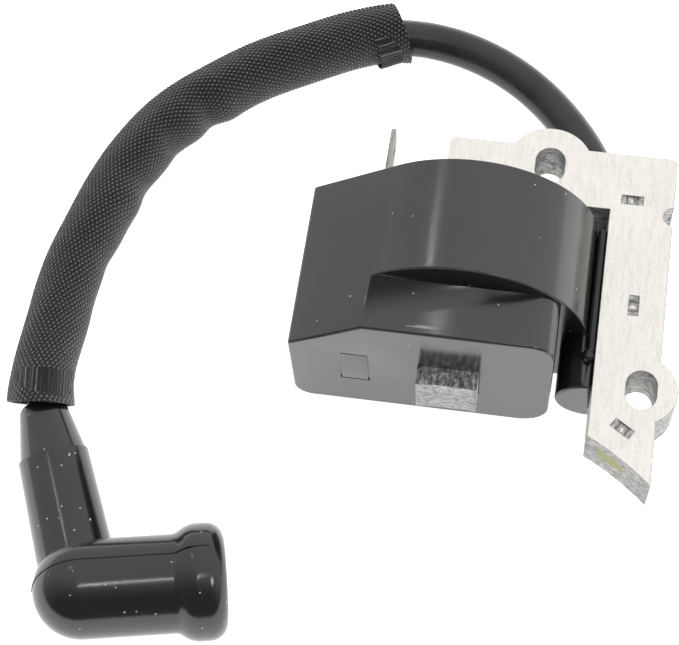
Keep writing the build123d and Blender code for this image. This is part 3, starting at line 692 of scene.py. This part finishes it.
class COIL_OT_terminal(bpy.types.Operator):
    """Blade terminal for the stop-switch wire"""
    bl_idname = "coil.terminal"
    bl_label = "Stop-switch terminal"

    def execute(self, context):
        bm = clean_copy("kill_switch_tab")
        sharp = [e for e in bm.edges if len(e.link_faces) == 2 and e.calc_face_angle() > 0.6]
        bmesh.ops.bevel(bm, geom=sharp, offset=0.00012, offset_type="OFFSET", segments=2, profile=0.5,
                        affect="EDGES", material=-1)
        plated = simple_metal("tinned_brass", (0.42, 0.41, 0.38), 0.45, 1500)
        piece("stop_terminal", bm, [plated], ["kill_switch_tab"], recalc=False)
        return {"FINISHED"}


# ------------------------------------------------------------------ insides
class COIL_OT_windings(bpy.types.Operator):
    """Bobbins, windings and the wires that join them"""
    bl_idname = "coil.windings"
    bl_label = "Windings"

    def execute(self, context):
        wire = wound_wire()
        nylon = simple_body("bobbin_plastic", (0.82, 0.8, 0.74), 0.45, 250)
        for name in ("charge_winding", "primary_winding", "secondary_windings", "primary_leads",
                     "hv_link"):
            dress(name, wire)
        for name in ("primary_bobbin", "secondary_bobbin"):
            dress(name, nylon)
        dress("hv_terminal", simple_metal("brass_pin", (0.75, 0.55, 0.24), 0.25, 900))
        dress("ground_strap", simple_metal("tinned_strap", (0.7, 0.69, 0.66), 0.35, 700))
        return {"FINISHED"}


class COIL_OT_electronics(bpy.types.Operator):
    """Circuit board and the components on it"""
    bl_idname = "coil.electronics"
    bl_label = "Electronics"

    def execute(self, context):
        dress("circuit_board", simple_body("board", (0.03, 0.2, 0.08), 0.35, 700))
        dress("resistors", banded_resistor())
        for name in ("diodes", "thyristor"):
            dress(name, simple_body("component_case_" + name, (0.02, 0.02, 0.02), 0.5, 1200))
        dress("trigger_capacitor",
              simple_body("disc_ceramic", (0.72, 0.36, 0.09), 0.35, 500, 0.00005))
        dress("storage_capacitor",
              simple_body("film_case", (0.42, 0.05, 0.035), 0.3, 200, 0.00008))
        return {"FINISHED"}


# ------------------------------------------------------------------ lead and sleeve
def lead_points():
    """The lead's centre line, read from its curve."""
    curve = bpy.data.objects["lead"].data.copy()
    curve.bevel_depth = 0
    curve.resolution_u = 64
    probe = bpy.data.objects.new("probe", curve)
    mesh = bpy.data.meshes.new_from_object(probe)
    line = [v.co.copy() for v in mesh.vertices]
    bpy.data.objects.remove(probe)
    bpy.data.meshes.remove(mesh)
    bpy.data.curves.remove(curve)
    return line


def along(line):
    """Distance from the line's start at each of its points."""
    total = [0.0]
    for before, here in zip(line, line[1:]):
        total.append(total[-1] + (here - before).length)
    return total


class COIL_OT_lead(bpy.types.Operator):
    """High-tension lead with its stranded conductor"""
    bl_idname = "coil.lead"
    bl_label = "Lead"

    def execute(self, context):
        settings = context.scene.coil_lead
        curve = bpy.data.curves.new("lead", "CURVE")
        curve.dimensions = "3D"
        curve.resolution_u = 24
        curve.bevel_depth = settings.diameter / 2
        curve.bevel_resolution = 8
        curve.use_fill_caps = True
        spline = curve.splines.new("NURBS")
        spline.points.add(len(LEAD_ROUTE) - 1)
        for point, place in zip(spline.points, LEAD_ROUTE):
            point.co = (*(Vector(place) * MM), 1)
        spline.order_u = 3
        spline.use_endpoint_u = True
        lead = bpy.data.objects.new("lead", curve)
        context.collection.objects.link(lead)
        curve.materials.append(jacket())
        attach(lead, "coil_unit")
        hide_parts("lead_insulation")
        return {"FINISHED"}


def dent(distance, angle, at, towards, width, depth):
    """Depth of a crease across the sleeve, on one side of it."""
    side = max(0.0, math.cos(angle - towards))
    return depth * side * side * math.exp(-((distance - at) / width) ** 2)


def bump(distance, width):
    """1 at no distance, falling smoothly towards 0."""
    return math.exp(-((distance / width) ** 2))


def hem(bm, place, way, wall, reach):
    """Turns a cut end inwards: across the wall, then back along the inside."""
    rim = [e for e in bm.edges
           if e.is_boundary and abs((e.verts[0].co - place).dot(way)) < 0.00001]
    for step in ("across", "back"):
        made = bmesh.ops.extrude_edge_only(bm, edges=rim)["geom"]
        verts = [g for g in made if isinstance(g, bmesh.types.BMVert)]
        rim = [g for g in made if isinstance(g, bmesh.types.BMEdge)]
        centre = sum((v.co for v in verts), Vector()) / len(verts)
        for vert in verts:
            if step == "across":
                vert.co += (centre - vert.co).normalized() * wall
            else:
                vert.co += -way * reach


def sleeve_tube(settings, line):
    """The woven outside, laid along the lead's line, with spare length at both ends."""
    total = along(line)
    first = next(d for p, d in zip(line, total)
                 if (p - SLEEVE_START).dot(SLEEVE_START_WAY) < 0 and p.x < 0)
    last = max(d for p, d in zip(line, total) if (p - SLEEVE_END).dot(SLEEVE_END_WAY) < 0)
    first, last = first - SLEEVE_SPARE, last + SLEEVE_SPARE
    length = last - first
    pitch = 0.8 * (2 * math.pi * settings.outer / settings.yarns)
    bm = bmesh.new()
    bmesh.ops.create_grid(bm, x_segments=settings.yarns * 4, y_segments=SLEEVE_ROWS, size=0.5,
                          calc_uvs=True)
    uv = bm.loops.layers.uv.verify()
    for face in bm.faces:
        for loop in face.loops:
            x, y = loop.vert.co.x + 0.5, loop.vert.co.y + 0.5
            loop[uv].uv = (x * settings.yarns, y * length / (2 * pitch))
    index = 0
    for vert in sorted(bm.verts, key=lambda v: v.co.y):
        turn, share = vert.co.x + 0.5, vert.co.y + 0.5
        # the line's point and axes here
        distance = first + share * length
        while index < len(total) - 2 and total[index + 1] < distance:
            index += 1
        step = (distance - total[index]) / max(total[index + 1] - total[index], 1e-9)
        centre = line[index].lerp(line[index + 1], step)
        before, after = line[max(index - 3, 0)], line[min(index + 4, len(line) - 1)]
        tangent = (after - before).normalized()
        side = tangent.cross(Vector((0, 0, 1))).normalized()
        up = side.cross(tangent)
        # the loose ends sway off the lead
        from_start = share * length - SLEEVE_SPARE
        from_end = (1 - share) * length - SLEEVE_SPARE
        sway = 0.0011 * bump(from_start, 0.007)
        sway += 0.0012 * bump(from_end, 0.008) - 0.0009 * bump(from_end - 0.018, 0.009)
        # crossings of the two sets of yarns
        wave = settings.yarns * math.pi * turn
        slant = math.pi * share * length / (2 * pitch)
        first_set, other_set = math.sin(wave + slant), math.sin(wave - slant)
        crest = first_set * first_set * other_set * other_set
        # flared ends, slow waviness and creases
        angle = 2 * math.pi * turn
        radius = settings.outer + settings.relief * (crest - 0.4)
        radius += 0.0003 * bump(from_end, 0.004) + 0.00015 * bump(from_start, 0.003)
        radius += 0.00016 * math.sin(3 * angle + distance * 130) * math.sin(distance * 210 + 1.3)
        for at, width, depth in SLEEVE_CREASES:
            radius -= dent(distance - first, angle, at, math.pi * 0.9, width, depth)
        vert.co = centre + side * (math.cos(angle) * radius + sway) + up * (math.sin(angle) * radius)
        vert.co.z = max(vert.co.z, 0.00003)
    bmesh.ops.remove_doubles(bm, verts=bm.verts, dist=0.000003)
    bmesh.ops.recalc_face_normals(bm, faces=bm.faces)
    return bm


class COIL_OT_sleeve(bpy.types.Operator):
    """Braided sleeve, loose on the lead, with its cut ends"""
    bl_idname = "coil.sleeve"
    bl_label = "Braided sleeve"

    def execute(self, context):
        settings = context.scene.coil_sleeve
        bm = sleeve_tube(settings, lead_points())
        for place, way in ((SLEEVE_START, SLEEVE_START_WAY), (SLEEVE_END, SLEEVE_END_WAY)):
            bmesh.ops.bisect_plane(bm, geom=bm.verts[:] + bm.edges[:] + bm.faces[:], dist=0.000001,
                                   plane_co=place, plane_no=way, clear_outer=True)
            hem(bm, place, way, settings.wall, SLEEVE_HEM)
        sleeve = piece("sleeve_braid", bm, [braid(tuple(settings.yarn))],
                       ["braided_sleeve"], sharp=180, recalc=False)
        return {"FINISHED"}


# ------------------------------------------------------------------ boot
def spun(points, steps, arc=None):
    """Turned solid about +Z from (radius, height) points, after an arc of a radius and height."""
    bm = bmesh.new()
    verts = []
    if arc:
        start = bm.verts.new((0, 0, arc[1] - arc[0]))
        made = bmesh.ops.spin(bm, geom=[start], cent=(0, 0, arc[1]), axis=(0, -1, 0),
                              angle=math.pi / 2, steps=28, use_merge=False, use_duplicate=False)
        verts.append(made["geom_last"][0])
    for radius, height in points:
        vert = bm.verts.new((radius, 0, height))
        if verts:
            bm.edges.new((verts[-1], vert))
        verts.append(vert)
    bmesh.ops.spin(bm, geom=bm.verts[:] + bm.edges[:], cent=(0, 0, 0), axis=(0, 0, 1),
                   angle=2 * math.pi, steps=steps, use_merge=True, use_duplicate=False)
    bmesh.ops.remove_doubles(bm, verts=bm.verts, dist=0.000002)
    bmesh.ops.recalc_face_normals(bm, faces=bm.faces)
    return bm


def soften(bm, rings, segments=6):
    """Rounds the ring edges at (radius, height) by a size."""
    for radius, height, size in rings:
        edges = [e for e in bm.edges
                 if all(abs(v.co.z - height) < 0.00001
                        and abs(math.hypot(v.co.x, v.co.y) - radius) < 0.00002 for v in e.verts)]
        bmesh.ops.bevel(bm, geom=edges, offset=size, offset_type="OFFSET", segments=segments,
                        profile=0.5, affect="EDGES", material=-1)


def stand_on(bm, way, across):
    """Turns a shape from +Z to a way, with its +X towards the other way, at the barrel's centre."""
    z = way.normalized()
    x = (across - z * across.dot(z)).normalized()
    turn = Matrix((x, z.cross(x), z)).transposed()
    bmesh.ops.rotate(bm, cent=(0, 0, 0), matrix=turn, verts=bm.verts)
    bmesh.ops.translate(bm, vec=BARREL_CENTRE, verts=bm.verts)
    return bm


def boot_barrel(steps):
    """Closed barrel with its round end and bead."""
    bm = spun([(BARREL_RADIUS, BEAD_START), (BEAD_RADIUS, BEAD_FULL), (BEAD_RADIUS, MOUTH_HEIGHT),
               (0, MOUTH_HEIGHT)], steps, arc=(BARREL_RADIUS, 0))
    soften(bm, ((BEAD_RADIUS, MOUTH_HEIGHT, 3.0 * MM), (BEAD_RADIUS, BEAD_FULL, 1.3 * MM),
                (BARREL_RADIUS, BEAD_START, 0.5 * MM)), 8)
    return stand_on(bm, MOUTH_WAY, UPPER_SIDE)


def boot_neck(steps):
    """Tapered neck; its step leans a little, lower on the side that looks up."""
    bm = spun([(0, 0), (6.55 * MM, 0), (6.55 * MM, 8 * MM), (6.2 * MM, 26 * MM),
               (5.9 * MM, 26.12 * MM), (NECK_TIP_RADIUS, NECK_HEIGHT), (0, NECK_HEIGHT)], steps)
    for vert in bm.verts:
        if 0.025 < vert.co.z < 0.027:
            vert.co.z -= 0.0019 * max(0.0, vert.co.x / 0.0062) ** 1.5
    soften(bm, ((NECK_TIP_RADIUS, NECK_HEIGHT, 0.25 * MM),), 4)
    return stand_on(bm, NECK_WAY, UPPER_SIDE)


def boot_bores(steps):
    """Bores for the plug, the clip, the lead and the clip's wire."""
    plug = spun([(0, -0.7 * MM), (0.7 * MM, -0.7 * MM), (0.7 * MM, 2.05 * MM),
                 (5.6 * MM, 2.05 * MM), (5.6 * MM, 11.05 * MM), (5.2 * MM, 11.05 * MM),
                 (5.2 * MM, 25 * MM), (0, 25 * MM)], steps)
    lead = spun([(0, 0), (0.7 * MM, 0), (0.7 * MM, 22 * MM), (3.58 * MM, 22 * MM),
                 (3.58 * MM, 34.4 * MM), (3.8 * MM, 37 * MM), (0, 37 * MM)], steps)
    return stand_on(plug, MOUTH_WAY, UPPER_SIDE), stand_on(lead, NECK_WAY, UPPER_SIDE)


def seam_ridge(height, turn):
    """Raised line that the mould left along the barrel and over its round end."""
    bm = bmesh.new()
    first = bm.verts.new((0, 0, -BARREL_RADIUS - height))
    made = bmesh.ops.spin(bm, geom=[first], cent=(0, 0, 0), axis=(0, -1, 0), angle=math.pi / 2,
                          steps=24, use_merge=False, use_duplicate=False)
    last = made["geom_last"][0]
    for radius, z in ((8.35, 15.4), (8.6, 15.9), (9.8, 17.7), (9.95, 18.6), (9.95, 21.4)):
        here = bm.verts.new((radius * MM + height, 0, z * MM))
        bm.edges.new((last, here))
        last = here
    bmesh.ops.spin(bm, geom=bm.verts[:] + bm.edges[:], cent=(0, 0, 0), axis=(0, 0, 1),
                   angle=math.radians(SEAM_WIDTH), steps=2, use_merge=False, use_duplicate=False)
    bmesh.ops.remove_doubles(bm, verts=bm.verts, dist=0.000001)
    bmesh.ops.recalc_face_normals(bm, faces=bm.faces)
    bmesh.ops.solidify(bm, geom=bm.faces[:], thickness=0.0004)
    turned = Matrix.Rotation(math.radians(turn), 3, "Z")
    bmesh.ops.rotate(bm, cent=(0, 0, 0), matrix=turned, verts=bm.verts)
    return stand_on(bm, MOUTH_WAY, UPPER_SIDE)


class COIL_OT_boot(bpy.types.Operator):
    """Right-angle rubber boot with its spring clip"""
    bl_idname = "coil.boot"
    bl_label = "Plug boot"

    def execute(self, context):
        settings = context.scene.coil_boot
        rubber = moulded_black("boot_rubber", tuple(settings.rubber), 0.15, 1500, 0.6, False,
                               shine=0.75)
        bm = combine(boot_barrel(settings.steps), boot_neck(settings.steps), "UNION")
        for cutter in boot_bores(96):
            bm = combine(bm, cutter, "DIFFERENCE")
        bmesh.ops.remove_doubles(bm, verts=bm.verts, dist=0.000002)
        shell = piece("boot_shell", bm, [rubber], ["plug_boot"], body="plug_boot",
                      sharp=38)
        shell.modifiers.new("even", "WEIGHTED_NORMAL").keep_sharp = True
        apply_modifiers(shell)
        piece("boot_seam", seam_ridge(settings.seam, SEAM_TURN), [rubber],
              body="plug_boot")
        dress("plug_clip", simple_metal("spring_steel", (0.6, 0.59, 0.57), 0.3, 900))
        dress("lead_conductor", simple_metal("copper_strand", (0.7, 0.36, 0.2), 0.35, 1500))
        return {"FINISHED"}


# ------------------------------------------------------------------ panel and registration
class COIL_PT_build(bpy.types.Panel):
    """Buttons that build the coil piece by piece"""
    bl_idname = "COIL_PT_build"
    bl_label = "Ignition coil"
    bl_space_type = "VIEW_3D"
    bl_region_type = "UI"
    bl_category = "Coil"

    def draw(self, context):
        for operator in STEPS:
            self.layout.operator(operator.bl_idname)
        for name in SETTINGS:
            group = getattr(context.scene, name)
            box = self.layout.box()
            for key in group.__annotations__:
                box.prop(group, key)


SETTINGS = {
    "coil_stage": CoilStageSettings,
    "coil_core": CoilCoreSettings,
    "coil_housing": CoilHousingSettings,
    "coil_lead": CoilLeadSettings,
    "coil_sleeve": CoilSleeveSettings,
    "coil_boot": CoilBootSettings,
}
STEPS = (COIL_OT_stage, COIL_OT_lead, COIL_OT_boot, COIL_OT_sleeve, COIL_OT_core, COIL_OT_housing,
         COIL_OT_terminal, COIL_OT_windings, COIL_OT_electronics)


def register():
    for cls in (*SETTINGS.values(), *STEPS, COIL_PT_build):
        bpy.utils.register_class(cls)
    for name, group in SETTINGS.items():
        setattr(bpy.types.Scene, name, PointerProperty(type=group))


def unregister():
    for name in SETTINGS:
        delattr(bpy.types.Scene, name)
    for cls in reversed((*SETTINGS.values(), *STEPS, COIL_PT_build)):
        bpy.utils.unregister_class(cls)


def main():
    register()
    for operator in STEPS:
        group, name = operator.bl_idname.split(".")
        getattr(getattr(bpy.ops, group), name)()


if __name__ == "__main__":
    main()
